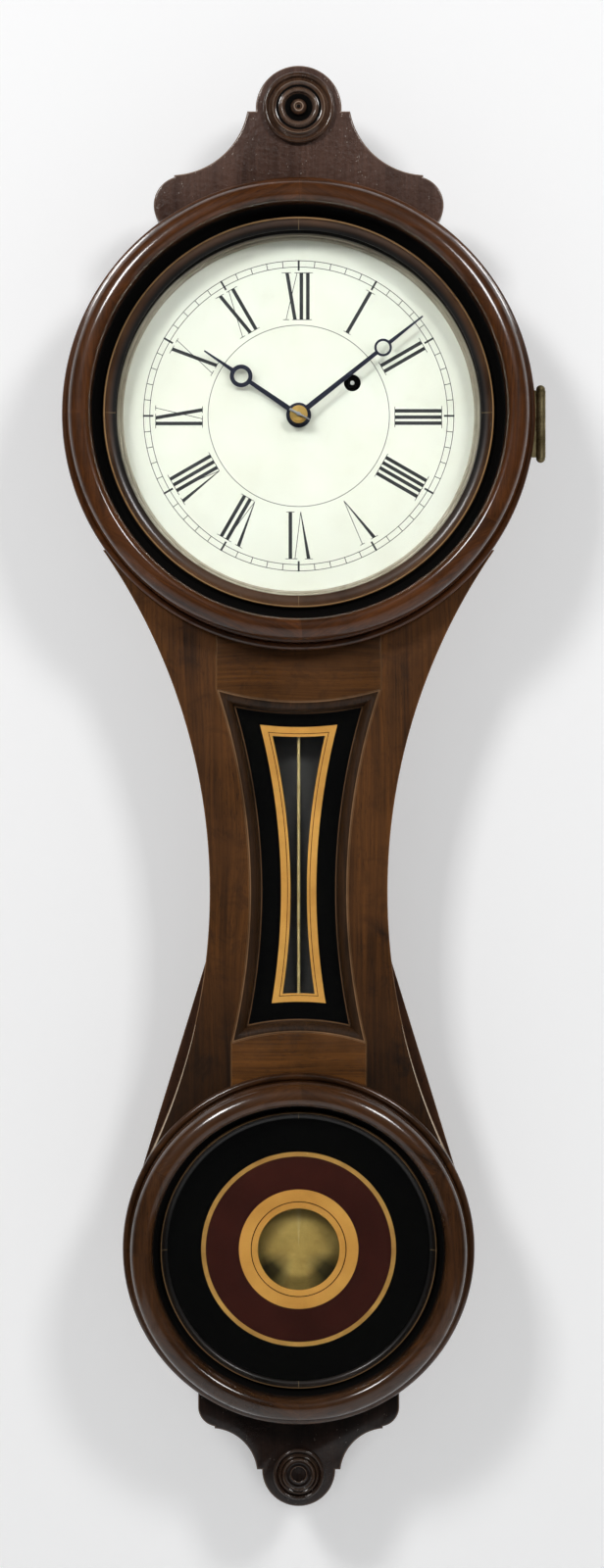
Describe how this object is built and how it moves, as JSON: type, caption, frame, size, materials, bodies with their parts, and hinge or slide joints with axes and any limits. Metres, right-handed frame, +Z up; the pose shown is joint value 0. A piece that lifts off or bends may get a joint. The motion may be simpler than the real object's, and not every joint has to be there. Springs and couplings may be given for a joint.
{
  "type": "regulator clock",
  "caption": "Figure-eight wall regulator in turned walnut: weight-driven pendulum clock with hinged dial door, waisted throat and round lower window.",
  "frame": {"origin": "centre of the hanging hole, on the wall face of the hanger plate", "axes": "+X to the viewer's right, -Y out of the wall towards the viewer, +Z up"},
  "size_m": [0.2896, 0.1055, 0.8653],
  "materials": {
    "walnut": "old shellac, glossy",
    "dark_walnut": "old dark varnish, glossy",
    "aged_bead": "aged gold-brown lacquer",
    "grey_board": "matt painted",
    "slate_board": "matt painted",
    "dial_white": "satin painted",
    "glass": "clear",
    "painted_glass": "painted on the back",
    "steel": "polished",
    "blued_steel": "blued",
    "brass": "lacquered",
    "iron": "blackened"
  },
  "bodies": {
    "case": {"backboard": "walnut", "side_left": "walnut", "side_right": "walnut", "upper_rim": "walnut", "lower_rim": "walnut", "stile_left": "walnut", "stile_right": "walnut", "top_rail": "walnut", "bottom_rail": "walnut", "throat_moulding": "dark_walnut", "throat_glass": "painted_glass", "crest": "dark_walnut", "crest_rosette": "dark_walnut", "pendant": "dark_walnut", "pendant_rosette": "dark_walnut", "hanger_plate": "steel", "weight_baffle": "slate_board", "dial_seat": "walnut", "dial": "dial_white", "dial_ring": "grey_board", "hinge_leaf_case": "brass", "catch_barrel": "brass", "back_plate": "brass", "front_plate": "brass", "pillars": "brass", "pallet_cock": "brass", "cable_fall": "steel", "cable_standing": "steel"},
    "door": {"main_door": "walnut", "main_bead": "aged_bead", "main_glass": "glass", "hinge_leaf_door": "brass"},
    "catch": {"catch_ball": "steel"},
    "bezel": {"lower_bezel": "walnut", "lower_bead": "aged_bead", "lower_glass": "painted_glass"},
    "barrel": {"barrel": "brass"},
    "great": {"great_wheel": "brass"},
    "click": {"click": "steel"},
    "centre": {"centre_arbor": "steel", "centre_wheel": "brass", "cannon_pinion": "steel", "minute_hand": "blued_steel", "hand_collet": "brass"},
    "motion_wheel": {"minute_wheel": "brass"},
    "hour": {"hour_wheel": "brass", "hour_hand": "blued_steel"},
    "third": {"third_arbor": "steel", "third_wheel": "brass"},
    "escape": {"escape_arbor": "steel", "escape_wheel": "brass"},
    "anchor": {"pallets": "steel", "crutch": "brass"},
    "pendulum": {"suspension_spring": "steel", "pendulum_rod": "brass"},
    "bob": {"bob": "brass"},
    "rating_nut": {"rating_nut": "brass"},
    "weight": {"weight": "iron", "cable_bight": "steel"},
    "pulley": {"pulley": "brass"}
  },
  "joints": [
    {"name": "main_door_hinge", "type": "hinge", "parent": "case", "child": "door", "pos_m": [0.1449, -0.07815, -0.118], "axis": [0, 0, 1], "range_deg": [0, 135]},
    {"name": "lower_bezel_pull", "type": "slide", "parent": "case", "child": "bezel", "axis": [0, -1, 0], "range_m": [0, 0.06]},
    {"name": "catch_ball_press", "type": "slide", "parent": "case", "child": "catch", "axis": [0, 1, 0], "range_m": [0, 0.0012], "stiffness_N_per_m": 600},
    {"name": "minute_hand_turn", "type": "hinge", "parent": "case", "child": "centre", "pos_m": [0, -0.04, -0.112], "axis": [0, 1, 0], "continuous": true},
    {"name": "hour_hand_turn", "type": "hinge", "parent": "case", "child": "hour", "pos_m": [0, -0.04, -0.112], "axis": [0, 1, 0], "continuous": true},
    {"name": "minute_wheel_turn", "type": "hinge", "parent": "case", "child": "motion_wheel", "pos_m": [0.00887, -0.04, -0.12335], "axis": [0, 1, 0], "continuous": true},
    {"name": "great_wheel_turn", "type": "hinge", "parent": "case", "child": "great", "pos_m": [0.0323, -0.04, -0.0921], "axis": [0, 1, 0], "continuous": true},
    {"name": "third_arbor_turn", "type": "hinge", "parent": "case", "child": "third", "pos_m": [-0.0168, -0.04, -0.0888], "axis": [0, 1, 0], "continuous": true},
    {"name": "escape_arbor_turn", "type": "hinge", "parent": "case", "child": "escape", "pos_m": [0, -0.04, -0.0725], "axis": [0, 1, 0], "continuous": true},
    {"name": "click_lift", "type": "hinge", "parent": "great", "child": "click", "pos_m": [0.0159, -0.04, -0.0951], "axis": [0, -1, 0], "range_deg": [0, 12], "stiffness_Nm_per_rad": 0.002},
    {"name": "pendulum_swing", "type": "hinge", "parent": "case", "child": "pendulum", "pos_m": [0, -0.04, -0.04987], "axis": [0, 1, 0], "range_deg": [-2.5, 2.5]},
    {"name": "anchor_swing", "type": "hinge", "parent": "case", "child": "anchor", "pos_m": [0, -0.04, -0.04987], "axis": [0, 1, 0], "range_deg": [-2.5, 2.5]},
    {"name": "bob_slide", "type": "slide", "parent": "pendulum", "child": "bob", "axis": [0, 0, 1], "range_m": [-0.0028, 0.0028]},
    {"name": "rating_nut_turn", "type": "hinge", "parent": "bob", "child": "rating_nut", "pos_m": [0, -0.0616, -0.66], "axis": [0, 0, 1], "range_deg": [-1500, 1500]},
    {"name": "weight_drop", "type": "slide", "parent": "case", "child": "weight", "axis": [0, 0, -1], "range_m": [0, 0.33], "deforming": ["cable_fall", "cable_standing"]},
    {"name": "barrel_turn", "type": "hinge", "parent": "case", "child": "barrel", "pos_m": [0.0323, -0.04, -0.0921], "axis": [0, 1, 0], "range_deg": [-4325, 0]},
    {"name": "pulley_turn", "type": "hinge", "parent": "weight", "child": "pulley", "pos_m": [0, -0.04, -0.178], "axis": [0, 1, 0], "range_deg": [0, 805]}
  ],
  "couplings": [
    {"joint": "hour_hand_turn", "follows": "minute_hand_turn", "ratio": 0.083333},
    {"joint": "minute_wheel_turn", "follows": "minute_hand_turn", "ratio": -0.33333},
    {"joint": "great_wheel_turn", "follows": "minute_hand_turn", "ratio": -0.0625},
    {"joint": "third_arbor_turn", "follows": "minute_hand_turn", "ratio": -10},
    {"joint": "escape_arbor_turn", "follows": "minute_hand_turn", "ratio": 80},
    {"joint": "anchor_swing", "follows": "pendulum_swing", "ratio": 1},
    {"joint": "rating_nut_turn", "follows": "bob_slide", "rad_per_m": 8976},
    {"joint": "barrel_turn", "follows": "weight_drop", "rad_per_m": -228.57},
    {"joint": "pulley_turn", "follows": "weight_drop", "rad_per_m": 42.463}
  ]
}
